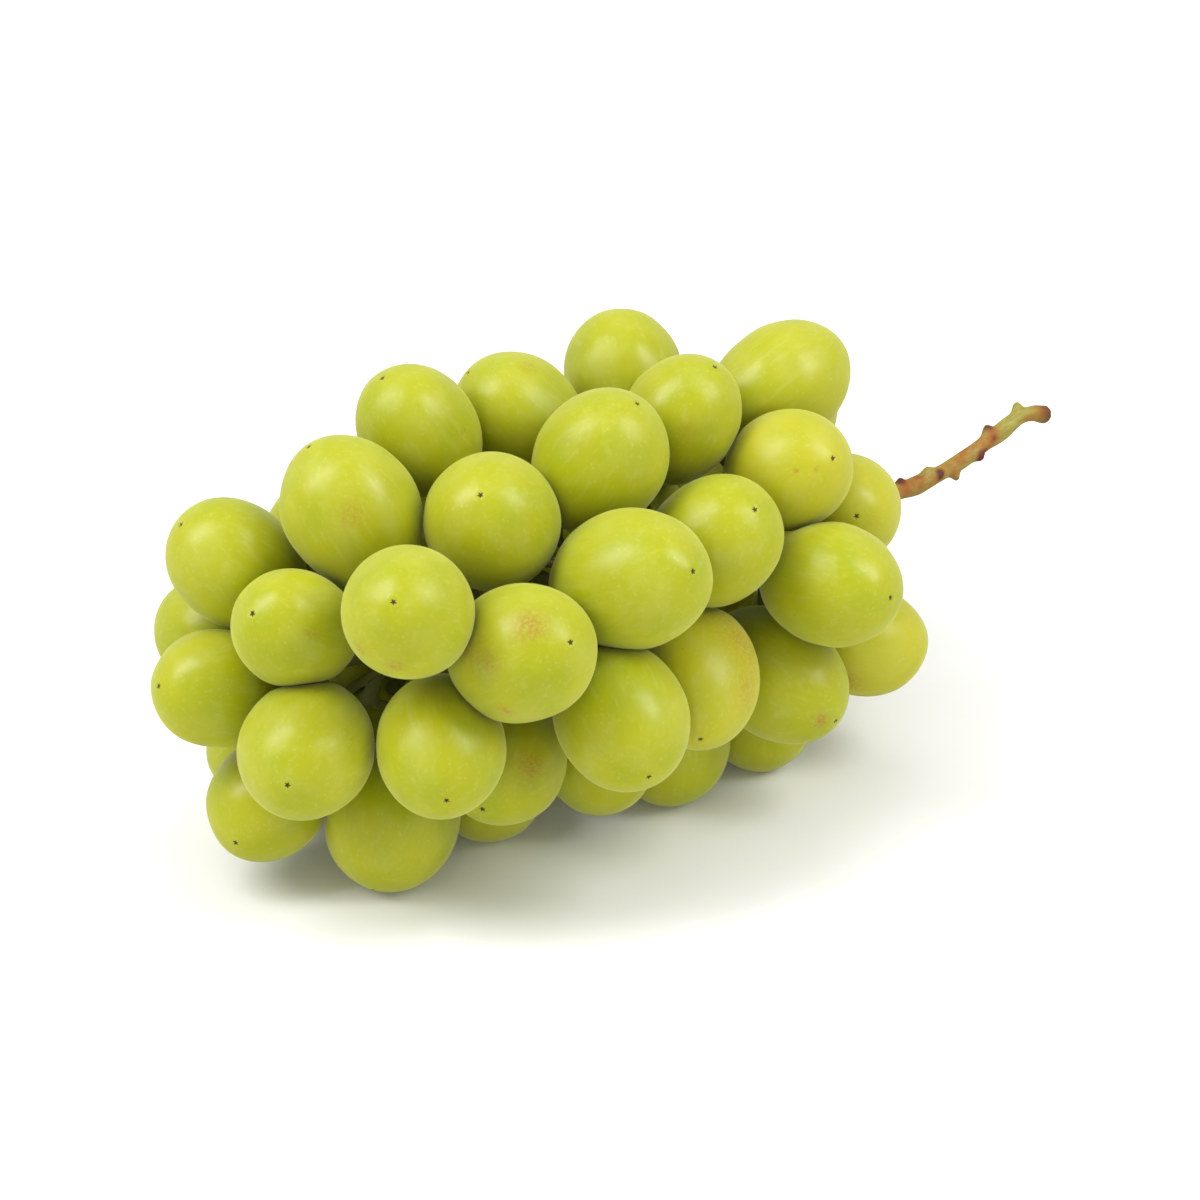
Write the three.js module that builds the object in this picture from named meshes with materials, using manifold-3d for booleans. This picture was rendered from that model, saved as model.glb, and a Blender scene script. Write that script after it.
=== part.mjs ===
// A bunch of large green table grapes, lying on its side as it was cut from the vine.
// Millimetres, +Z up. X runs along the bunch, from its tip (-X) to the cut end of its stem (+X). The table is z = 0.
import * as THREE from "three";
import { mergeVertices } from "three/addons/utils/BufferGeometryUtils.js";
import Module from "manifold-3d";

// ---- Driving dimensions ----

const GAP = 0.3; // clearance between two pieces that touch
const PRESS = 0.6; // how far the table flattens a grape that rests on it
const TABLE = null; // stands for the height of a grape that rests on the table

const GRAPE_SEGMENTS = 12; // sides of a grape, round its long axis
const GRAPE_BANDS = 8; // bands of a grape, from its stem end to its blossom end
const BAND_DRAW = 12; // degrees by which the bands are drawn towards the two ends
const TAPER = 0.04; // how much slimmer the blossom half is than the stem half
const STEM_REACH = 1.2; // the stem half is this much longer than the blossom half
const SEAT_DEPTH = 0.06; // depth of the pedicel's seat, as a share of the blossom half's length
const SEAT_GAP = 0.5; // from the middle of the seat to the end of the pedicel
const NEIGHBOUR_REACH = 40; // grapes whose centres are further apart than this never touch

const RACHIS_RADIUS = 1.8;
const BRANCH_RADIUS = 1.4;
const BRANCH_RAKE = 6; // a branch leaves the rachis this far nearer the cut end than its grapes hang
const BRANCH_SHARE = 0.5; // a branch forks at this share of the way from its root to its grapes
const FORK_RADIUS = 1.9; // the swelling where a branch forks
const PEDICEL_RADIUS = 1.0;
const PEDICEL_RUN_IN = 7; // straight run of a pedicel into its grape
const KNOT_RADIUS = 2.4; // swellings of the rachis at its old leaf and tendril scars
const CUT_END_RADIUS = 2.1;
const CUT_END_LENGTH = 2.4;
const STEM_SIDES = 8;
const RACHIS_STEPS = 24;
const TWIG_SIDES = 5;
const PEDICEL_STEPS = 4;

const MERGE_DISTANCE = 1e-4;
const GRAPE_COLOUR = 0xbcbf2d;
const STEM_COLOUR = 0xb5964b;

// The rachis, from the tip of the bunch to the cut end, and its knots on the bare stretch.
const RACHIS_ROUTE = [
  [-72, 8, 43],
  [-45, 5, 45],
  [-15, 3, 47],
  [20, 3, 47],
  [50, 3, 45],
  [66, 3, 42.7],
  [80, 3, 44.2],
  [91, 3, 47.8],
  [98.5, 3, 50.7],
  [103, 3, 50.6],
  [105.6, 3, 49.7],
];
const KNOTS = [
  [74, 3, 43.5],
  [80.5, 3, 43.6],
  [90.5, 3, 48],
  [98.5, 3, 51],
];

// Each branch carries a few grapes. A grape's row holds the centre of its widest ring x, y, z, then the heading
// and tilt of its blossom end in degrees (heading 0 along +X and 90 along +Y, tilt up from level), then twice the
// length of its blossom half, and its width. The last grape of branches 5 and 7 stayed small in the core.
const BRANCHES = [
  [
    [35, -16, 55, -120, 20, 24, 22.5],
    [18, -19, 70, -85, 30, 26, 24],
    [16, -36, 52, -80, 10, 28, 24.5],
  ],
  [
    [51, 27, 59, 55, 25, 28, 26],
    [32, 1, 78, -5, 20, 28.5, 24],
    [20, 29, 63, 90, 35, 26, 24],
  ],
  [
    [55, 15, 25, 30, -45, 26, 24],
    [41, 37, 36, 80, -15, 27.5, 25.5],
    [28, 22, TABLE, 90, -70, 26, 24.5],
  ],
  [
    [35, -24, 28, -30, -10, 25, 22.5],
    [38, -2, 18, -60, -80, 28, 26],
    [17, -12, TABLE, -90, -90, 24, 23],
    [10, -27, 29, -80, -15, 30, 25],
  ],
  [
    [15, 34, 39, 90, -10, 27.5, 25.5],
    [-7, 28, 27, 90, -35, 27, 25.5],
    [6, 10, TABLE, 90, -90, 27, 26],
    [21, 7, 33, -60, -30, 16, 16],
  ],
  [
    [6, 21, 80, 80, 50, 25.5, 24],
    [3, -3, 80, -55, 60, 26, 23],
    [-22, 19, 79, 150, 45, 26, 24],
  ],
  [
    [-5, -25, 64, -85, 45, 29, 25],
    [-30, -32, 66, -80, 25, 32, 27],
    [-21, -9, 80, -55, 60, 28, 25.5],
    [-17, 7, 59, -20, 30, 15, 15],
  ],
  [
    [-14, -31, 38, -125, -20, 29, 24],
    [-6, -12, TABLE, -90, -90, 25, 24],
    [-26, -15, 18, -90, -65, 24, 23],
  ],
  [
    [-13, 33, 61, 90, 25, 28, 26],
    [-38, 31, 62, 90, 30, 27, 25],
    [-32, 32, 29, 90, -30, 27.5, 26],
  ],
  [
    [-21, 10, TABLE, 90, -90, 27, 25.5],
    [-44, -2, TABLE, -90, -90, 24.5, 23],
    [-53, 21, TABLE, 90, -75, 26.5, 25],
  ],
  [
    [-38, -39, 41, -105, -20, 28.5, 25.5],
    [-51, -18, 26, -145, -15, 25, 23.5],
    [-56, -33, 59, -85, 30, 29.5, 26],
  ],
  [
    [-47, -9, 74, -135, 45, 29, 26],
    [-46, 18, 83, 165, 60, 26.5, 23],
    [-68, 8, 76, 140, 60, 28.5, 26],
  ],
  [
    [-62, 28, 59, 90, 30, 24.5, 23],
    [-57, 35, 34, 90, -10, 28, 25.5],
    [-83, 36, 42, 120, -5, 24, 23],
    [-77, 30, 16, 95, -50, 23.5, 22.5],
  ],
  [
    [-76, -24, 70, -135, 35, 27.5, 24.5],
    [-70, -25, 39, -120, -10, 28.5, 24.5],
    [-90, -9, 38, -135, 5, 29, 25.5],
  ],
  [
    [-69, -5, TABLE, -145, -45, 27.5, 26.5],
    [-88, 10, 17, -150, -10, 25.5, 23],
  ],
  [
    [-85, 24, 63, 165, 45, 27, 24],
    [-86, 1, 59, -165, 35, 24.5, 22.5],
    [-95, 16, 42, 180, 20, 24.5, 23],
  ],
];

// A geometry with its shared vertices merged, holding only positions.
function closed(geometry) {
  geometry.deleteAttribute("normal");
  geometry.deleteAttribute("uv");
  return mergeVertices(geometry, MERGE_DISTANCE);
}

// ---- Grapes ----

const POLE = new THREE.Vector3(0, 1, 0); // a grape's own axis, towards its blossom end
const DOWN = new THREE.Vector3(0, 0, -1);

// The grape of one row, with its axis, its place, its half width and the length of its blossom half.
function readGrape(row, branchIndex, grapeIndex) {
  const [x, y, z, heading, tilt, length, width] = row;
  const h = THREE.MathUtils.degToRad(heading);
  const t = THREE.MathUtils.degToRad(tilt);
  const halfLength = length / 2;
  const halfWidth = width / 2;
  const restHeight = Math.hypot(halfLength * Math.sin(t), halfWidth * Math.cos(t)) - PRESS;
  const axis = new THREE.Vector3(Math.cos(t) * Math.cos(h), Math.cos(t) * Math.sin(h), Math.sin(t));
  return {
    name: `branch_${String(branchIndex + 1).padStart(2, "0")}_grape_${grapeIndex + 1}`,
    rests: z === TABLE,
    centre: new THREE.Vector3(x, y, z === TABLE ? restHeight : z),
    axis,
    turn: new THREE.Quaternion().setFromUnitVectors(POLE, axis),
    halfLength,
    halfWidth,
  };
}

// Distance from a grape's centre to its unpressed skin. cosine is that of the angle from the blossom end.
function skinRadius(grape, cosine) {
  const sineSquared = 1 - cosine * cosine;
  const along = cosine / (cosine < 0 ? grape.halfLength * STEM_REACH : grape.halfLength);
  const ellipsoid = 1 / Math.sqrt(along * along + sineSquared / grape.halfWidth ** 2);
  return ellipsoid * (1 - TAPER * cosine * sineSquared);
}

// The planes that a grape's skin stays inside: one towards each near neighbour, and the table.
function contactPlanes(grape, grapes) {
  const planes = grape.rests ? [{ normal: DOWN, distance: grape.centre.z }] : [];
  for (const other of grapes) {
    const normal = other.centre.clone().sub(grape.centre);
    const apart = normal.length();
    if (other === grape || apart > NEIGHBOUR_REACH) continue;
    normal.divideScalar(apart);
    const mine = skinRadius(grape, normal.dot(grape.axis));
    const theirs = skinRadius(other, -normal.dot(other.axis));
    planes.push({ normal, distance: ((apart - GAP) * mine) / (mine + theirs) });
  }
  return planes;
}

// Distance from a grape's centre to its pressed skin, along a unit direction in the bunch's frame.
function pressedRadius(grape, direction) {
  const cosine = THREE.MathUtils.clamp(direction.dot(grape.axis), -1, 1);
  let radius = skinRadius(grape, cosine);
  for (const { normal, distance } of grape.planes) {
    const towards = direction.dot(normal);
    if (towards > 0) radius = Math.min(radius, distance / towards);
  }
  return radius;
}

// The middle of the seat that the pedicel grows into, at the stem end.
function seatOf(grape) {
  const towardsStem = grape.axis.clone().negate();
  const seatRadius = pressedRadius(grape, towardsStem) - SEAT_DEPTH * grape.halfLength;
  return grape.centre.clone().addScaledVector(towardsStem, seatRadius);
}

// A sphere whose bands are drawn towards its poles, with each vertex moved along its ray to the pressed skin.
function grapeMesh(grape, material) {
  const geometry = new THREE.SphereGeometry(1, GRAPE_SEGMENTS, GRAPE_BANDS);
  const places = geometry.getAttribute("position");
  const draw = THREE.MathUtils.degToRad(BAND_DRAW);
  const seatRadius = grape.centre.distanceTo(grape.seat);
  const ray = new THREE.Vector3();
  const spherical = new THREE.Spherical();
  for (let i = 0; i < places.count; i++) {
    spherical.setFromVector3(ray.fromBufferAttribute(places, i));
    const isStemPole = spherical.phi > Math.PI - 0.01;
    spherical.phi -= draw * Math.sin(2 * spherical.phi);
    ray.setFromSpherical(spherical);
    const reach = isStemPole ? seatRadius : pressedRadius(grape, ray.clone().applyQuaternion(grape.turn));
    ray.multiplyScalar(reach);
    places.setXYZ(i, ray.x, ray.y, ray.z);
  }
  const mesh = new THREE.Mesh(closed(geometry), material);
  mesh.name = grape.name;
  mesh.position.copy(grape.centre);
  mesh.quaternion.copy(grape.turn);
  return mesh;
}

// ---- Stem: rachis, branches and pedicels, grown as one piece ----

const wasm = await Module();
wasm.setup();

function solidOf(geometry) {
  const merged = closed(geometry);
  const vertProperties = new Float32Array(merged.getAttribute("position").array);
  const triVerts = new Uint32Array(merged.index.array);
  return new wasm.Manifold(new wasm.Mesh({ numProp: 3, vertProperties, triVerts }));
}

// A round stem of one thickness along a curve.
function stemAlong(curve, radius, sides, steps) {
  const section = new THREE.Shape(new THREE.Path().absarc(0, 0, radius, 0, 2 * Math.PI).getSpacedPoints(sides));
  return solidOf(
    new THREE.ExtrudeGeometry(section, { steps, curveSegments: sides, bevelEnabled: false, extrudePath: curve }),
  );
}

function swelling(place, radius) {
  return solidOf(new THREE.IcosahedronGeometry(radius, 0).translate(...place));
}

// The cut end of the rachis, which flares where it was torn from the cane.
function cutEnd(rachis) {
  const cone = new THREE.CylinderGeometry(CUT_END_RADIUS, RACHIS_RADIUS, CUT_END_LENGTH, STEM_SIDES);
  cone.applyQuaternion(new THREE.Quaternion().setFromUnitVectors(POLE, rachis.getTangent(1)));
  return solidOf(cone.translate(...rachis.getPoint(1)));
}

// The point of the rachis at a given x.
function rachisAt(rachis, x) {
  const points = rachis.getPoints(200);
  return points.reduce((best, p) => (Math.abs(p.x - x) < Math.abs(best.x - x) ? p : best));
}

function mean(vectors) {
  const sum = vectors.reduce((total, v) => total.add(v), new THREE.Vector3());
  return sum.divideScalar(vectors.length);
}

// One branch: its root on the rachis, the limb to its fork, and a pedicel from there to each of its grapes.
function branchSolids(rachis, grapes) {
  const middle = mean(grapes.map((grape) => grape.seat));
  const root = rachisAt(rachis, middle.x + BRANCH_RAKE);
  const fork = root.clone().lerp(middle, BRANCH_SHARE);
  const limb = new THREE.LineCurve3(root, fork);
  const solids = [stemAlong(limb, BRANCH_RADIUS, TWIG_SIDES, 1), swelling(fork, FORK_RADIUS)];
  for (const grape of grapes) {
    const tip = grape.seat.clone().addScaledVector(grape.axis, -SEAT_GAP);
    const runIn = tip.clone().addScaledVector(grape.axis, -PEDICEL_RUN_IN);
    const pedicel = new THREE.CubicBezierCurve3(fork, fork.clone().lerp(runIn, 0.5), runIn, tip);
    solids.push(stemAlong(pedicel, PEDICEL_RADIUS, TWIG_SIDES, PEDICEL_STEPS));
  }
  return solids;
}

function stemMesh(grapesByBranch, material) {
  const rachis = new THREE.CatmullRomCurve3(RACHIS_ROUTE.map((point) => new THREE.Vector3(...point)));
  const solids = [
    stemAlong(rachis, RACHIS_RADIUS, STEM_SIDES, RACHIS_STEPS),
    cutEnd(rachis),
    ...KNOTS.map((place) => swelling(place, KNOT_RADIUS)),
    ...grapesByBranch.flatMap((grapes) => branchSolids(rachis, grapes)),
  ];
  const joined = solids.reduce((whole, solid) => whole.add(solid)).getMesh();
  const geometry = new THREE.BufferGeometry();
  geometry.setAttribute("position", new THREE.BufferAttribute(joined.vertProperties, 3));
  geometry.setIndex(new THREE.BufferAttribute(joined.triVerts, 1));
  const mesh = new THREE.Mesh(geometry, material);
  mesh.name = "stem";
  return mesh;
}

// ---- The bunch ----

const grapeSkin = new THREE.MeshStandardMaterial({ color: GRAPE_COLOUR, roughness: 0.4, metalness: 0 });
const stemBark = new THREE.MeshStandardMaterial({ color: STEM_COLOUR, roughness: 0.8, metalness: 0 });

const grapesByBranch = BRANCHES.map((rows, branch) => rows.map((row, index) => readGrape(row, branch, index)));
const allGrapes = grapesByBranch.flat();
for (const grape of allGrapes) {
  grape.planes = contactPlanes(grape, allGrapes);
  grape.seat = seatOf(grape);
}

const bunch = new THREE.Group();
bunch.add(stemMesh(grapesByBranch, stemBark));
for (const grape of allGrapes) bunch.add(grapeMesh(grape, grapeSkin));

export default bunch;
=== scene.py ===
import bpy
import numpy as np
from mathutils import Matrix


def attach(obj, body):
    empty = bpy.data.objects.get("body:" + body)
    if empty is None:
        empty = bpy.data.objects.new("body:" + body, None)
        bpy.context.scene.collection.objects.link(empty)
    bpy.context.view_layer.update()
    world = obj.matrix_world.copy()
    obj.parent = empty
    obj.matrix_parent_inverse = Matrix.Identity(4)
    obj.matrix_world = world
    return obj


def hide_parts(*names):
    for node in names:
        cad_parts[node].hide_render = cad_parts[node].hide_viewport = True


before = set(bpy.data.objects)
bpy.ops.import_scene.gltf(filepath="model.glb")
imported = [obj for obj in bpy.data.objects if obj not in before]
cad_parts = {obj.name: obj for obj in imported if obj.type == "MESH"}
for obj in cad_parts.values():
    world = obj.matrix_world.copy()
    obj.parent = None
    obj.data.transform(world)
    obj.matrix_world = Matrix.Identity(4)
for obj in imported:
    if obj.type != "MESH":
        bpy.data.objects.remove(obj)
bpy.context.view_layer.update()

# ---- Grapes ----
# Fifty-one seedless table grapes: clear green flesh in a thin waxy skin, each hung by its stem end and
# pressed against its neighbours. Each is measured off its faceted solid and grown smooth in the same place.

MM = 0.001
SOLID_FACETS = 12  # triangles that meet at either end of a solid grape
EDGES_TO_GIRDLE = 4  # edges from either end of a solid grape to its widest ring
SEAT_DEPTH = 0.06  # depth of the stem end's dimple, as a share of the blossom half's length
STEM_REACH = 1.2  # the stem half is this much longer than the blossom half
SLIMMER = 0.04  # how much slimmer the blossom half is than the stem half
TOUCH_GAP = 0.1 * MM  # between two grapes that press on each other
TOUCH_ROUNDING = 0.3 * MM  # how softly the skin turns into a pressed flat
NEIGHBOUR_REACH = 40 * MM
GRAPE_RINGS = 88
GRAPE_SIDES = 96
RINGS_DRAWN = 0.28  # draws the rings of a grape towards its two ends, where the small marks are
TURN_REFERENCE = (0.36, 0.80, 0.48)  # the turn round a grape's axis starts square to this direction
EDGE_ON = 0.05  # a contact plane met at less than this cosine stops nothing


def merged_solid(name):
    """The corner points of a solid of the frame, each held once, and its triangles."""
    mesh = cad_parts[name].data
    points = np.empty(3 * len(mesh.vertices), np.float32)
    mesh.vertices.foreach_get("co", points)
    corners = np.empty(len(mesh.loops), np.int32)
    mesh.loops.foreach_get("vertex_index", corners)
    points = points.reshape(-1, 3).astype(float).round(6)
    points, place = np.unique(points, axis=0, return_inverse=True)
    return points, place.reshape(-1)[corners].reshape(-1, 3)


def unit(vectors):
    """Each vector divided by its length."""
    return vectors / np.linalg.norm(vectors, axis=-1, keepdims=True)


def skin_radius(cosine, half_length, half_width):
    """From a grape's centre to its unpressed skin, by the cosine of the angle from its blossom end: half of
    a short ellipse and half of a longer one, made slimmer on the blossom half and fuller on the stem half."""
    reach = np.where(cosine < 0, half_length * STEM_REACH, half_length)
    ellipse = 1 / np.sqrt((cosine / reach) ** 2 + (1 - cosine**2) / half_width**2)
    return ellipse * (1 - SLIMMER * cosine * (1 - cosine**2))


def measure_grape(name, stem_points):
    """A solid grape's two ends are where all its facets meet, and the one nearer the stem is its stem end.
    Its centre lies on the line between them, level with the ring that is equally many edges from both."""
    points, triangles = merged_solid(name)
    ends = np.flatnonzero(np.bincount(triangles.ravel()) == SOLID_FACETS)
    joined = np.eye(len(points))
    for first, second in ((0, 1), (1, 2), (2, 0)):
        joined[triangles[:, first], triangles[:, second]] = 1
        joined[triangles[:, second], triangles[:, first]] = 1
    within = np.linalg.matrix_power(joined, EDGES_TO_GIRDLE) > 0
    girdle = points[within[ends[0]] & within[ends[1]]]
    from_stem = [np.linalg.norm(stem_points - points[end], axis=1).min() for end in ends]
    stem_end, blossom_end = points[ends[np.argsort(from_stem)]]
    axis = unit(blossom_end - stem_end)
    centre = stem_end + axis * ((girdle - stem_end) @ axis).mean()
    to_blossom = (blossom_end - centre) @ axis
    to_seat = (centre - stem_end) @ axis
    return {
        "name": name,
        "centre": centre,
        "axis": axis,
        "seat": stem_end,
        "half_length": max(to_blossom, to_seat / (STEM_REACH - SEAT_DEPTH)),
        "half_width": np.linalg.norm(np.cross(girdle - centre, axis), axis=1).max(),
    }


def contact_planes(grape):
    """The planes a grape stays inside, as normals and distances from its centre: the table's, and one
    across the way to each near neighbour, which shares the distance as the two free skins would."""
    normals = [np.array([0.0, 0.0, -1.0])]
    distances = [grape["centre"][2]]
    for other in grapes:
        across = other["centre"] - grape["centre"]
        apart = np.linalg.norm(across)
        if other is grape or apart > NEIGHBOUR_REACH:
            continue
        normal = across / apart
        mine = skin_radius(normal @ grape["axis"], grape["half_length"], grape["half_width"])
        theirs = skin_radius(-normal @ other["axis"], other["half_length"], other["half_width"])
        normals.append(normal)
        distances.append((apart - TOUCH_GAP) * mine / (mine + theirs))
    return np.array(normals), np.array(distances)


def closed_grid_faces(rings, sides):
    """Faces of a closed skin whose points are one pole, rings * sides grid points, and the other pole."""
    ring, side = np.meshgrid(np.arange(rings - 1), np.arange(sides), indexing="ij")
    following = (side + 1) % sides
    first = 1 + ring * sides
    quads = np.stack([first + side, first + side + sides, first + following + sides, first + following], -1)
    around = np.arange(sides)
    onward = (around + 1) % sides
    last = rings * sides + 1
    start_fan = np.stack([np.zeros(sides, int), 1 + around, 1 + onward], -1)
    end_fan = np.stack([np.full(sides, last), last - sides + onward, last - sides + around], -1)
    return quads.reshape(-1, 4).tolist() + start_fan.tolist() + end_fan.tolist()


def make_piece(name, points, faces, material, attributes):
    """A smooth-shaded mesh object at the origin, with one float or vector attribute for each entry."""
    mesh = bpy.data.meshes.new(name)
    mesh.from_pydata(points, [], faces)
    for label, values in attributes.items():
        kind, field = ("FLOAT_VECTOR", "vector") if values.ndim == 2 else ("FLOAT", "value")
        layer = mesh.attributes.new(label, kind, "POINT")
        layer.data.foreach_set(field, values.astype(np.float32).ravel())
    mesh.shade_smooth()
    mesh.materials.append(material)
    piece = bpy.data.objects.new(name, mesh)
    bpy.context.scene.collection.objects.link(piece)
    return piece


LUMP_HEIGHT = 0.10 * MM  # how far the skin strays in and out in slow swells
LUMP_WAVES = 7
LUMP_TIGHTNESS = 3.2  # spread of the waves' rates over the skin
DIMPLE_WIDTH = 2.6 * MM
NIPPLE_HEIGHT = 0.22 * MM  # the raised rim round the blossom scar
NIPPLE_RADIUS = 1.3 * MM
PIT_DEPTH = 0.30 * MM
PIT_RADIUS = 0.5 * MM


def grape_points(grape, seed):
    """The skin on a grid of angle from the blossom end and angle round the axis. Each point lies along its
    ray at a soft minimum of the free skin's radius and the contact planes', plus slow swells made of a few
    seeded waves, less the stem end's dimple, with a low rim and a pit at the blossom scar."""
    draws = np.random.default_rng(seed)
    fraction = np.linspace(0, 1, GRAPE_RINGS + 2)[1:-1]
    polar = np.pi * fraction - RINGS_DRAWN * np.sin(2 * np.pi * fraction)
    turn = 2 * np.pi * np.arange(GRAPE_SIDES) / GRAPE_SIDES
    axis = grape["axis"]
    side = unit(np.cross(axis, TURN_REFERENCE))
    other_side = np.cross(axis, side)
    polar, turn = np.meshgrid(polar, turn, indexing="ij")
    polar = np.concatenate([[0], polar.ravel(), [np.pi]])
    turn = np.concatenate([[0], turn.ravel(), [0]])
    across = np.cos(turn)[:, None] * side + np.sin(turn)[:, None] * other_side
    ray = np.cos(polar)[:, None] * axis + np.sin(polar)[:, None] * across

    skin = skin_radius(np.cos(polar), grape["half_length"], grape["half_width"])
    waves = draws.normal(0, LUMP_TIGHTNESS, (LUMP_WAVES, 3))
    phases = draws.uniform(0, 2 * np.pi, LUMP_WAVES)
    skin = skin + LUMP_HEIGHT * np.sin(ray @ waves.T + phases).sum(axis=1) / 2

    from_stem_end = (np.pi - polar) * grape["half_width"]
    from_blossom = polar * grape["half_width"]
    dimple = SEAT_DEPTH * grape["half_length"] * np.exp(-((from_stem_end / DIMPLE_WIDTH) ** 2))
    rim = NIPPLE_HEIGHT * np.exp(-((from_blossom / NIPPLE_RADIUS) ** 2))
    pit = PIT_DEPTH * np.exp(-((from_blossom / PIT_RADIUS) ** 2))
    skin = skin - dimple + rim - pit

    normals, distances = contact_planes(grape)
    facing = ray @ normals.T
    reach = distances / np.maximum(facing, EDGE_ON)
    radii = np.column_stack([skin, reach])
    radius = -TOUCH_ROUNDING * np.logaddexp.reduce(-radii / TOUCH_ROUNDING, axis=1)
    place = radius[:, None] * ray
    own_place = np.stack([place @ side, place @ other_side, place @ axis], -1) / MM
    return grape["centre"] + place, own_place, ray


# How far a grape has ripened from green towards amber, by branch and grape: 0 is the common green.
RIPER = {
    "branch_01_grape_1": 0.45,
    "branch_01_grape_2": 0.4,
    "branch_02_grape_2": 0.2,
    "branch_04_grape_1": 0.45,
    "branch_08_grape_1": 0.3,
}

# Russet where a grape was rubbed as it grew: its name, the heading and tilt of the mark in degrees as seen
# from the grape's centre, the mark's width in mm, and how strong it is.
RUSSET = [
    ("branch_11_grape_3", -120, 50, 6, 0.8),
    ("branch_11_grape_3", -145, -30, 3, 0.9),
    ("branch_11_grape_3", -180, 20, 8, 0.5),
    ("branch_11_grape_3", -155, 15, 4, 0.5),
    ("branch_14_grape_1", -170, -15, 3, 0.8),
    ("branch_14_grape_1", -135, -25, 3, 0.8),
    ("branch_12_grape_3", -120, 20, 5, 0.5),
    ("branch_08_grape_1", -30, 45, 14, 0.6),
    ("branch_08_grape_1", -75, 10, 8, 0.4),
    ("branch_11_grape_2", -95, 25, 6, 0.7),
    ("branch_06_grape_3", -80, 70, 4, 0.4),
    ("branch_06_grape_2", -125, 10, 4, 0.3),
    ("branch_04_grape_4", -95, -10, 3, 0.9),
    ("branch_16_grape_2", -100, 20, 3, 0.5),
    ("branch_04_grape_1", -150, -20, 6, 0.6),
    ("branch_01_grape_2", -125, 25, 1, 0.9),
    ("branch_01_grape_2", -105, 25, 1, 0.7),
    ("branch_12_grape_2", -70, 10, 1, 1.0),
]


def russet_on(grape, ray):
    """The sum of this grape's russet marks, each a soft round spot by the angle from its middle."""
    total = np.zeros(len(ray))
    for name, heading, tilt, width, strength in RUSSET:
        if name != grape["name"]:
            continue
        h, t = np.radians([heading, tilt])
        middle = np.array([np.cos(t) * np.cos(h), np.cos(t) * np.sin(h), np.sin(t)])
        from_middle = np.linalg.norm(ray - middle, axis=1) * grape["half_width"]
        total = total + strength * np.exp(-((from_middle / (width * MM / 2)) ** 2))
    return total


def shader_node(tree, kind, inputs, **settings):
    """A shader node with its settings, and each input a plain value or another node's output."""
    made = tree.nodes.new("ShaderNode" + kind)
    for setting, value in settings.items():
        setattr(made, setting, value)
    for socket, value in inputs.items():
        if isinstance(value, bpy.types.NodeSocket):
            tree.links.new(value, made.inputs[socket])
        else:
            made.inputs[socket].default_value = value
    return made


def maths(tree, operation, first, second=0.0, clamp=False):
    """One arithmetic step between two numbers or outputs."""
    made = shader_node(tree, "Math", {0: first, 1: second}, operation=operation, use_clamp=clamp)
    return made.outputs[0]


def mixed(tree, amount, first, second):
    """Two colours mixed by an amount."""
    inputs = {0: amount, 6: first, 7: second}
    return shader_node(tree, "Mix", inputs, data_type="RGBA").outputs[2]


def ramped(tree, value, low, high, to_low=0.0, to_high=1.0):
    """A value carried smoothly from one range to another, and held at its ends."""
    inputs = {"Value": value, "From Min": low, "From Max": high, "To Min": to_low, "To Max": to_high}
    made = shader_node(tree, "MapRange", inputs, interpolation_type="SMOOTHSTEP")
    return made.outputs["Result"]


def attribute(tree, name, output="Fac"):
    """The value of a mesh attribute."""
    return shader_node(tree, "Attribute", {}, attribute_name=name).outputs[output]


def noise(tree, where, scale, detail=3.0, roughness=0.5):
    """A noise pattern's value, near 0.5."""
    inputs = {"Vector": where, "Scale": scale, "Detail": detail, "Roughness": roughness}
    return shader_node(tree, "TexNoise", inputs).outputs[0]


def stretched(tree, where, scale):
    """A place scaled by a different amount along each axis."""
    return shader_node(tree, "Mapping", {"Vector": where, "Scale": scale}).outputs[0]


def new_material(name):
    """A material with its tree emptied to one Principled shader and the output."""
    material = bpy.data.materials.new(name)
    material.use_nodes = True
    tree = material.node_tree
    return material, tree, tree.nodes["Principled BSDF"]


GREEN_FLESH = (0.36, 0.375, 0.004, 1)
DEEP_GREEN_FLESH = (0.325, 0.36, 0.003, 1)
AMBER_FLESH = (0.49, 0.445, 0.020, 1)
WAX_BLOOM = (0.48, 0.50, 0.12, 1)
SCAR_BROWN = (0.050, 0.026, 0.008, 1)
RUSSET_BROWN = (0.34, 0.17, 0.02, 1)
SEAT_BROWN = (0.30, 0.24, 0.04, 1)


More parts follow.
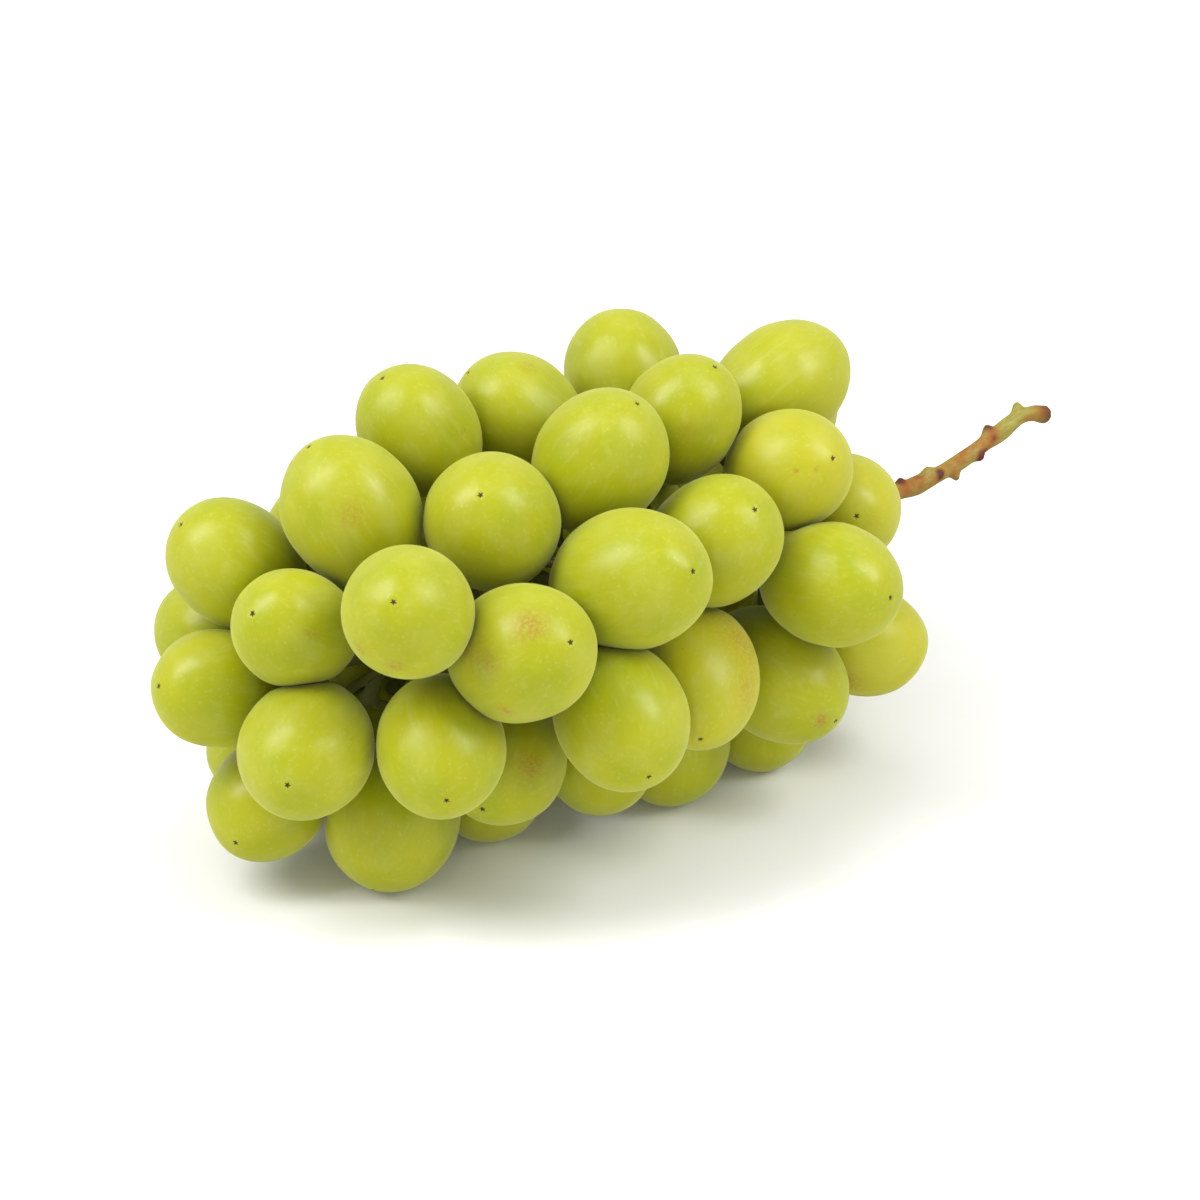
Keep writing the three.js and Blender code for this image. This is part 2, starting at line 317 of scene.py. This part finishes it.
def grape_skin_material():
    """Green flesh seen through skin: slow mottling, faint veins from end to end, pale pores, wax bloom, a
    star-shaped scar at the blossom end, a brown ring at the seat, a few brown flecks, and russet where the
    attribute says."""
    material, tree, shader = new_material("grape_skin")
    place = shader_node(tree, "TexCoord", {}).outputs["Object"]
    own = attribute(tree, "own_place", "Vector")
    ripe = attribute(tree, "ripeness")
    across = shader_node(tree, "SeparateXYZ", {"Vector": own})
    x, y, z = across.outputs
    squares = maths(tree, "ADD", maths(tree, "MULTIPLY", x, x), maths(tree, "MULTIPLY", y, y))
    from_axis = maths(tree, "SQRT", squares)
    angle = maths(tree, "ARCTAN2", y, x)

    mottle = noise(tree, place, 90.0, 3.0)
    veins = noise(tree, stretched(tree, own, (1.0, 1.0, 0.10)), 0.9, 2.0)
    amber = maths(tree, "ADD", ripe, ramped(tree, mottle, 0.45, 0.75, 0.0, 0.16), clamp=True)
    colour = mixed(tree, ramped(tree, mottle, 0.30, 0.55), DEEP_GREEN_FLESH, GREEN_FLESH)
    colour = mixed(tree, amber, colour, AMBER_FLESH)
    colour = mixed(tree, ramped(tree, veins, 0.50, 0.75, 0.0, 0.20), colour, WAX_BLOOM)

    pores = shader_node(tree, "TexVoronoi", {"Vector": place, "Scale": 620.0}).outputs["Distance"]
    colour = mixed(tree, ramped(tree, pores, 0.10, 0.24, 0.20, 0.0), colour, WAX_BLOOM)
    bloom = noise(tree, place, 140.0, 6.0, 0.62)
    bloom_amount = ramped(tree, bloom, 0.42, 0.72)
    colour = mixed(tree, maths(tree, "MULTIPLY", bloom_amount, 0.20), colour, WAX_BLOOM)

    speckle = noise(tree, place, 1500.0, 4.0, 0.6)
    russet = maths(tree, "MULTIPLY", attribute(tree, "russet"), ramped(tree, speckle, 0.38, 0.60, 0.25, 1.0))
    colour = mixed(tree, russet, colour, RUSSET_BROWN)
    flecks = shader_node(tree, "TexVoronoi", {"Vector": place, "Scale": 210.0}).outputs["Distance"]
    flecked = ramped(tree, noise(tree, place, 70.0, 2.0), 0.52, 0.62)
    flecks = maths(tree, "MULTIPLY", ramped(tree, flecks, 0.030, 0.065, 0.6, 0.0), flecked)
    colour = mixed(tree, flecks, colour, RUSSET_BROWN)

    arms = maths(tree, "COSINE", maths(tree, "MULTIPLY", angle, 5.0))
    star_edge = maths(tree, "ADD", maths(tree, "MULTIPLY", arms, 0.14), 0.42)
    ragged = maths(tree, "MULTIPLY", maths(tree, "SUBTRACT", speckle, 0.5), 0.6)
    star_edge = maths(tree, "ADD", star_edge, ragged)
    outside_star = maths(tree, "SUBTRACT", from_axis, star_edge)
    at_blossom = ramped(tree, z, 1.0, 3.0)
    scar = maths(tree, "MULTIPLY", ramped(tree, outside_star, -0.10, 0.16, 1.0, 0.0), at_blossom)
    colour = mixed(tree, scar, colour, SCAR_BROWN)
    at_seat = ramped(tree, z, -3.0, -1.0, 1.0, 0.0)
    seat = maths(tree, "MULTIPLY", ramped(tree, from_axis, 1.4, 3.4, 0.8, 0.0), at_seat)
    colour = mixed(tree, seat, colour, SEAT_BROWN)

    tree.links.new(colour, shader.inputs["Base Color"])
    roughness = ramped(tree, bloom, 0.35, 0.75, 0.33, 0.50)
    rougher = maths(tree, "MULTIPLY", maths(tree, "ADD", russet, scar), 0.3)
    roughness = maths(tree, "ADD", roughness, rougher, clamp=True)
    tree.links.new(roughness, shader.inputs["Roughness"])
    fine = noise(tree, place, 900.0, 3.0)
    relief = maths(tree, "ADD", maths(tree, "MULTIPLY", fine, 0.35), maths(tree, "MULTIPLY", mottle, 1.0))
    relief = maths(tree, "SUBTRACT", relief, maths(tree, "MULTIPLY", scar, 1.2))
    relief = maths(tree, "ADD", relief, maths(tree, "MULTIPLY", russet, 0.5))
    bump = shader_node(tree, "Bump", {"Height": relief, "Strength": 0.35, "Distance": 0.12 * MM})
    tree.links.new(bump.outputs[0], shader.inputs["Normal"])
    shader.inputs["Subsurface Weight"].default_value = 0.6
    shader.inputs["Subsurface Radius"].default_value = (1.0, 0.9, 0.15)
    shader.inputs["Subsurface Scale"].default_value = 6.0 * MM
    shader.inputs["IOR"].default_value = 1.45
    shader.inputs["Specular IOR Level"].default_value = 0.45
    shader.inputs["Sheen Weight"].default_value = 0.38
    shader.inputs["Sheen Roughness"].default_value = 0.42
    shader.inputs["Sheen Tint"].default_value = (0.86, 0.90, 0.42, 1)
    return material


stem_points, _ = merged_solid("stem")
grape_nodes = sorted(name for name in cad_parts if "_grape_" in name)
grapes = [measure_grape(name, stem_points) for name in grape_nodes]
grape_skin = grape_skin_material()
grape_faces = closed_grid_faces(GRAPE_RINGS, GRAPE_SIDES)
for number, grape in enumerate(grapes):
    points, own_place, ray = grape_points(grape, number)
    attributes = {
        "own_place": own_place,
        "ripeness": np.full(len(points), RIPER.get(grape["name"], 0.0)),
        "russet": russet_on(grape, ray),
    }
    piece = make_piece("skin_" + grape["name"], points, grape_faces, grape_skin, attributes)
    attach(piece, "root")
    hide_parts(grape["name"])

# ---- Stem ----
# The woody green stem of the bunch: a rachis with a cut end, sixteen branches along it, and a pedicel to
# each grape that ends in a warty head pressed into the grape's seat. It grew as one piece.

RACHIS_ROUTE = np.array([
    (-72, 8, 43), (-45, 5, 45), (-15, 3, 47), (20, 3, 47), (50, 3, 45),
    (66, 3, 42.7), (80, 3, 44.2), (91, 3, 47.8), (98.5, 3, 50.7), (103, 3, 50.6), (105.6, 3, 49.7),
]) * MM
RACHIS_RADIUS = 1.75 * MM
RACHIS_TAPER = [(-72, 0.6), (-20, 0.9), (40, 1.1), (68, 1.08), (78, 1.0), (110, 0.95)]  # x in mm, share
RACHIS_WAVE = 0.08 * MM
BRANCH_RADIUS = 1.4 * MM
ROOT_SWELLING = 0.35  # how much a branch thickens where it leaves the rachis, and where it forks
FORK_SWELLING = 0.4
BRANCH_RAKE = 6 * MM  # a branch leaves the rachis this far nearer the cut end than its grapes hang
BRANCH_SHARE = 0.5  # a branch forks at this share of the way to its grapes
PEDICEL_RADIUS = 0.95 * MM
PEDICEL_RUN_IN = 7 * MM
HEAD_RADIUS = 1.9 * MM  # the pedicel's head, where it meets the grape
HEAD_LENGTH = 1.6 * MM
HEAD_SINK = 0.35 * MM  # how deep the head sits in the seat
HEAD_EDGE = 0.25 * MM  # how softly the head begins
NECK_FLARE = 0.25 * MM  # how much the pedicel thickens in its last few mm
NECK_LENGTH = 4 * MM
CUT_END_LENGTH = 1.3 * MM
CUT_END_FLARE = 0.25 * MM
STEM_SIDES = 24
RACHIS_STEPS = 40
LIMB_STEPS = 24
PEDICEL_STEPS = 40
STEM_VOXEL = 0.40 * MM
SIDEWAYS = (0.3, 0.9, 0.2)  # a direction that no branch runs in, to turn its rings by


def smooth_path(knots, steps):
    """Points along a curve through the knots: on each span a cubic that leaves and reaches its knots along
    the line between their neighbours."""
    padded = np.vstack([2 * knots[0] - knots[1], knots, 2 * knots[-1] - knots[-2]])
    slopes = (padded[2:] - padded[:-2]) / 2
    t = np.linspace(0, 1, steps, endpoint=False)[None, :, None]
    start, end = knots[:-1, None], knots[1:, None]
    leave, arrive = slopes[:-1, None], slopes[1:, None]
    spans = (
        (2 * t**3 - 3 * t**2 + 1) * start
        + (t**3 - 2 * t**2 + t) * leave
        + (3 * t**2 - 2 * t**3) * end
        + (t**3 - t**2) * arrive
    )
    return np.vstack([spans.reshape(-1, 3), knots[-1]])


def tube(path, radii, reference):
    """A closed round tube: at each point of the path a ring across it, of that point's radius or radii,
    turned so that its first point faces the reference direction. The two ends close on the path."""
    tangent = unit(np.gradient(path, axis=0))
    side = unit(np.cross(tangent, reference))
    top = np.cross(side, tangent)
    turn = 2 * np.pi * np.arange(STEM_SIDES) / STEM_SIDES
    radii = np.broadcast_to(np.reshape(radii, (len(path), -1)), (len(path), STEM_SIDES))
    ring = np.cos(turn)[None, :, None] * top[:, None] + np.sin(turn)[None, :, None] * side[:, None]
    points = path[:, None] + radii[..., None] * ring
    return np.vstack([path[:1], points.reshape(-1, 3), path[-1:]]), len(path)


rachis_path = smooth_path(RACHIS_ROUTE, RACHIS_STEPS)
cut_end = rachis_path[-1] + unit(rachis_path[-1] - rachis_path[-2]) * CUT_END_LENGTH
rachis_path = np.vstack([rachis_path, cut_end])
rachis_x = rachis_path[:, 0]


def rachis_radii():
    """The rachis thins towards the tip of the bunch, waves a little, and flares at the cut end."""
    along = rachis_x / MM
    radii = RACHIS_RADIUS * np.interp(along, *np.transpose(RACHIS_TAPER))
    wave = RACHIS_WAVE * np.sin(along * 0.55)
    flare = CUT_END_FLARE * np.exp(-(((along - 107) / 3) ** 2))
    return radii + wave + flare


def branch_tubes(members):
    """The tubes of one branch: its limb from the rachis to the fork, and a pedicel to each grape that
    leaves the fork, bends, and runs in straight along the grape's axis to its head."""
    seats = np.array([grape["seat"] for grape in members])
    middle = seats.mean(axis=0)
    root = rachis_path[np.abs(rachis_x - middle[0] - BRANCH_RAKE).argmin()]
    fork = root + (middle - root) * BRANCH_SHARE
    t = np.linspace(0, 1, LIMB_STEPS)[:, None]
    limb = root + (fork - root) * t
    at_root = ROOT_SWELLING * np.exp(-((t / 0.18) ** 2))
    at_fork = FORK_SWELLING * np.exp(-(((1 - t) / 0.2) ** 2))
    parts = [tube(limb, BRANCH_RADIUS * (1 + at_root + at_fork), unit(np.cross(fork - root, SIDEWAYS)))]
    for grape in members:
        tip = grape["seat"] + grape["axis"] * HEAD_SINK
        run_in = grape["seat"] - grape["axis"] * PEDICEL_RUN_IN
        bend = (fork + run_in) / 2
        t = np.linspace(0, 1, PEDICEL_STEPS)[:, None]
        path = (1 - t) ** 3 * fork + 3 * t * (1 - t) ** 2 * bend + 3 * t**2 * (1 - t) * run_in + t**3 * tip
        from_tip = np.linalg.norm(path - tip, axis=1)
        head = 1 / (1 + np.exp((from_tip - HEAD_LENGTH) / HEAD_EDGE))
        radii = PEDICEL_RADIUS + (HEAD_RADIUS - PEDICEL_RADIUS) * head
        radii = radii + NECK_FLARE * np.exp(-((from_tip / NECK_LENGTH) ** 2))
        across = np.cross(run_in - fork, tip - run_in)
        if np.linalg.norm(across) < 1e-6:
            across = np.cross(run_in - fork, SIDEWAYS)
        parts.append(tube(path, radii, unit(across)))
    return parts


# What stands on the bare stretch of the rachis: x in mm, the direction round it in degrees (0 up, 90 towards
# -Y), and its height, length and spread in mm. Some are stubs of lost branches and tendrils.
KNOBS = [
    (66.5, -20, 0.9, 1.0, 1.0),
    (74.0, -15, 0.9, 1.4, 1.2),
    (75.5, 62, 0.4, 1.0, 1.0),
    (80.3, 140, 1.5, 0.9, 0.9),
    (86.8, 108, 1.2, 1.1, 1.0),
    (90.8, -25, 1.5, 1.1, 1.1),
    (90.3, 50, 0.4, 1.3, 1.0),
    (99.2, -25, 1.7, 1.1, 1.2),
    (70.0, 150, 0.3, 3.0, 1.5),
    (94.5, 150, 0.4, 3.5, 1.6),
]

# Rubbed and browned patches, then dark corky scars, placed in the same way: x, direction, strength, length
# and spread.
BROWNED = [
    (66.5, 60, 1.0, 3.2, 3.4),
    (70.5, 10, 1.0, 2.6, 2.2),
    (71.0, 120, 0.5, 3.0, 1.6),
    (75.5, 60, 1.0, 1.9, 1.7),
    (79.5, 125, 0.8, 1.8, 1.6),
    (79.0, 20, 0.5, 2.0, 1.6),
    (83.5, 20, 1.0, 4.0, 2.4),
    (87.0, 90, 0.9, 2.4, 2.4),
    (88.0, 10, 1.0, 2.6, 2.2),
    (90.5, 60, 1.0, 1.6, 2.4),
    (91.0, -25, 1.0, 1.6, 1.8),
    (95.5, 150, 0.7, 3.5, 1.0),
    (100.5, 120, 0.9, 2.2, 1.8),
    (104.6, 60, 0.8, 2.4, 9.0),
]
CORKY = [
    (66.2, -20, 1.2, 1.4, 1.6),
    (70.8, 15, 0.5, 1.3, 1.0),
    (75.8, 58, 1.3, 1.2, 1.3),
    (80.4, 140, 0.4, 0.8, 0.8),
    (86.8, 106, 1.3, 1.3, 1.4),
    (88.4, 118, 0.7, 1.1, 1.0),
    (91.0, -25, 1.1, 1.1, 1.2),
    (90.6, 55, 0.7, 0.9, 0.9),
    (99.0, -28, 0.4, 0.7, 0.8),
    (107.0, 60, 0.85, 3.4, 9.0),
]


def on_rachis(points, marks):
    """The sum of the marks at each point, each a soft mound in the distance along the rachis and round it,
    and the direction straight out from the rachis."""
    along = points[:, 0]
    outward = points - np.stack([np.interp(along, rachis_x, rachis_path[:, axis]) for axis in range(3)], -1)
    turn = np.arctan2(-outward[:, 1], outward[:, 2])
    total = np.zeros(len(points))
    for x, direction, strength, length, spread in marks:
        away = (turn - np.radians(direction) + np.pi) % (2 * np.pi) - np.pi
        round_it = away * RACHIS_RADIUS / (spread * MM)
        total = total + strength * np.exp(-(((along / MM - x) / length) ** 2) - round_it**2)
    return total, unit(outward + 1e-9)


BARK_LIGHT = (0.31, 0.28, 0.055, 1)
BARK_DARK = (0.25, 0.20, 0.035, 1)
# painted shade: the dark colour of the stem inside the bunch, where it lies in the grapes' shadow
BARK_PAINTED_SHADE = (0.12, 0.12, 0.02, 1)
BARK_BROWNED = (0.29, 0.105, 0.014, 1)
BARK_CORKY = (0.105, 0.026, 0.012, 1)
SHADE_PAINTED_BELOW = 50 * MM  # painted shade: the bark darkens inside the bunch, where the grapes shadow it, between these two places along x
BARE_BEYOND = 64 * MM


def stem_material():
    """Green-yellow bark with fine lengthwise streaks, orange-brown patches where it was rubbed, dark corky
    scars, and a dark painted shade on the stem inside the bunch, where it lies in the grapes' shadow."""
    material, tree, shader = new_material("stem_bark")
    place = shader_node(tree, "TexCoord", {}).outputs["Object"]
    streaks = noise(tree, stretched(tree, place, (0.22, 1.0, 1.0)), 1300.0, 4.0, 0.6)
    patches = noise(tree, place, 320.0, 4.0, 0.6)
    along = shader_node(tree, "SeparateXYZ", {"Vector": place}).outputs[0]
    clear_of_painted_shade = ramped(tree, along, SHADE_PAINTED_BELOW, BARE_BEYOND)
    colour = mixed(tree, ramped(tree, streaks, 0.35, 0.62), BARK_DARK, BARK_LIGHT)
    # painted shade: the stem inside the bunch is darkened where the grapes shadow it
    colour = mixed(tree, clear_of_painted_shade, BARK_PAINTED_SHADE, colour)
    patchy = ramped(tree, patches, 0.36, 0.60, 0.45, 1.0)
    rubbed = maths(tree, "MULTIPLY", attribute(tree, "browning"), patchy)
    colour = mixed(tree, rubbed, colour, BARK_BROWNED)
    cork = ramped(tree, attribute(tree, "corky"), 0.15, 1.0)
    colour = mixed(tree, cork, colour, BARK_CORKY)
    tree.links.new(colour, shader.inputs["Base Color"])
    tree.links.new(ramped(tree, patches, 0.3, 0.7, 0.45, 0.72), shader.inputs["Roughness"])
    relief = maths(tree, "ADD", maths(tree, "MULTIPLY", streaks, 0.6), maths(tree, "MULTIPLY", patches, 0.5))
    bump = shader_node(tree, "Bump", {"Height": relief, "Strength": 0.45, "Distance": 0.25 * MM})
    tree.links.new(bump.outputs[0], shader.inputs["Normal"])
    shader.inputs["Specular IOR Level"].default_value = 0.3
    shader.inputs["Subsurface Weight"].default_value = 0.1
    shader.inputs["Subsurface Radius"].default_value = (1.0, 0.7, 0.2)
    shader.inputs["Subsurface Scale"].default_value = 1.0 * MM
    return material


def grow_stem():
    """All the tubes brought into one skin on a fine cubic grid and smoothed, then marked with browning and
    corky scars by place."""
    by_branch = {}
    for grape in grapes:
        by_branch.setdefault(grape["name"].split("_grape_")[0], []).append(grape)
    parts = [tube(rachis_path, rachis_radii(), (0, 0, 1))]
    for members in by_branch.values():
        parts += branch_tubes(members)
    points, faces, count = [], [], 0
    for part_points, rings in parts:
        points.append(part_points)
        faces += [[count + corner for corner in face] for face in closed_grid_faces(rings, STEM_SIDES)]
        count += len(part_points)
    mesh = bpy.data.meshes.new("stem_tubes")
    mesh.from_pydata(np.vstack(points), [], faces)
    tubes = bpy.data.objects.new("stem_tubes", mesh)
    bpy.context.scene.collection.objects.link(tubes)
    skin = tubes.modifiers.new("one_skin", "REMESH")
    skin.mode = "VOXEL"
    skin.voxel_size = STEM_VOXEL
    smooth = tubes.modifiers.new("smooth", "SMOOTH")
    smooth.factor = 0.5
    smooth.iterations = 3
    grown = bpy.data.meshes.new_from_object(tubes.evaluated_get(bpy.context.evaluated_depsgraph_get()))
    bpy.data.objects.remove(tubes)
    points = np.empty(3 * len(grown.vertices), np.float32)
    grown.vertices.foreach_get("co", points)
    points = points.reshape(-1, 3).astype(float)
    height, outward = on_rachis(points, KNOBS)
    points = points + height[:, None] * MM * outward
    grown.vertices.foreach_set("co", points.astype(np.float32).ravel())
    for label, marks in (("browning", BROWNED), ("corky", CORKY)):
        layer = grown.attributes.new(label, "FLOAT", "POINT")
        layer.data.foreach_set("value", np.clip(on_rachis(points, marks)[0], 0, 1).astype(np.float32))
    grown.shade_smooth()
    grown.materials.clear()
    grown.materials.append(stem_material())
    piece = bpy.data.objects.new("grown_stem", grown)
    bpy.context.scene.collection.objects.link(piece)
    return piece


stem = grow_stem()
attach(stem, "root")
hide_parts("stem")

# ---- Floor, light and camera ----
# A plain pale floor, with an even white surround, a tall soft light on either side above the camera, a broad
# one overhead, and a low one in front that fills the shadows.

AIM = np.array([-0.015, 0.0, 0.043])
CAMERA_DISTANCE = 0.720
CAMERA_AZIMUTH = np.radians(-36)
CAMERA_TILT = np.radians(28)
FLOOR_HALF = 3.0
back = np.array([
    np.sin(CAMERA_AZIMUTH) * np.cos(CAMERA_TILT),
    -np.cos(CAMERA_AZIMUTH) * np.cos(CAMERA_TILT),
    np.sin(CAMERA_TILT),
])
right = np.array([np.cos(CAMERA_AZIMUTH), np.sin(CAMERA_AZIMUTH), 0.0])
above = np.cross(back, right)


def turned_to(z_axis, x_axis):
    """The turn, as Euler angles, whose local Z and X are the two given directions."""
    rows = np.array([x_axis, np.cross(z_axis, x_axis), z_axis]).T
    return Matrix(rows.tolist()).to_euler()


def floor_plane():
    """One flat square under the bunch."""
    corners = [(x * FLOOR_HALF, y * FLOOR_HALF, 0) for x, y in ((-1, -1), (1, -1), (1, 1), (-1, 1))]
    material, tree, shader = new_material("white_paper")
    place = shader_node(tree, "TexCoord", {}).outputs["Object"]
    grain = noise(tree, place, 40.0, 4.0)
    colour = mixed(tree, grain, (0.85, 0.85, 0.85, 1), (0.88, 0.88, 0.88, 1))
    tree.links.new(colour, shader.inputs["Base Color"])
    shader.inputs["Roughness"].default_value = 0.9
    shader.inputs["Specular IOR Level"].default_value = 0.1
    return make_piece("floor", corners, [(0, 1, 2, 3)], material, {})


def soft_light(name, direction, distance, width, height, watts):
    """A rectangular light facing the bunch, in a direction given along right, above and back."""
    towards = unit(direction[0] * right + direction[1] * above + direction[2] * back)
    lamp = bpy.data.lights.new(name, "AREA")
    lamp.shape = "RECTANGLE"
    lamp.size = width
    lamp.size_y = height
    lamp.energy = watts
    holder = bpy.data.objects.new(name, lamp)
    level = unit(np.cross((0, 0, 1), towards))
    holder.location = AIM + towards * distance
    holder.rotation_euler = turned_to(towards, level)
    bpy.context.scene.collection.objects.link(holder)
    return holder


floor = floor_plane()
floor.visible_glossy = False
soft_light("left_light", (-0.60, 0.58, 0.54), 0.9, 0.32, 0.68, 6.3)
soft_light("right_light", (0.65, 0.53, 0.55), 0.9, 0.28, 0.56, 4.6)
soft_light("front_fill", (0.0, -0.30, 0.95), 1.3, 1.0, 0.4, 3.2).visible_glossy = False
soft_light("top_light", (0.0, 0.88, 0.3), 1.3, 1.1, 0.9, 4.0).visible_glossy = False

surround = bpy.data.worlds.new("surround")
surround.use_nodes = True
sky = surround.node_tree.nodes["Background"]
sky.inputs["Color"].default_value = (1, 1, 1, 1)
height = shader_node(surround.node_tree, "SeparateXYZ", {
    "Vector": shader_node(surround.node_tree, "TexCoord", {}).outputs["Generated"],
}).outputs[2]
brightness = ramped(surround.node_tree, height, -0.75, -0.15, 0.16, 0.58)
surround.node_tree.links.new(brightness, sky.inputs["Strength"])
bpy.context.scene.world = surround
bpy.context.scene.view_settings.view_transform = "Standard"

lens = bpy.data.cameras.new("camera")
lens.lens = 108
lens.sensor_width = 36
camera = bpy.data.objects.new("camera", lens)
camera.location = AIM + back * CAMERA_DISTANCE
camera.rotation_euler = turned_to(back, right)
bpy.context.scene.collection.objects.link(camera)
bpy.context.scene.camera = camera
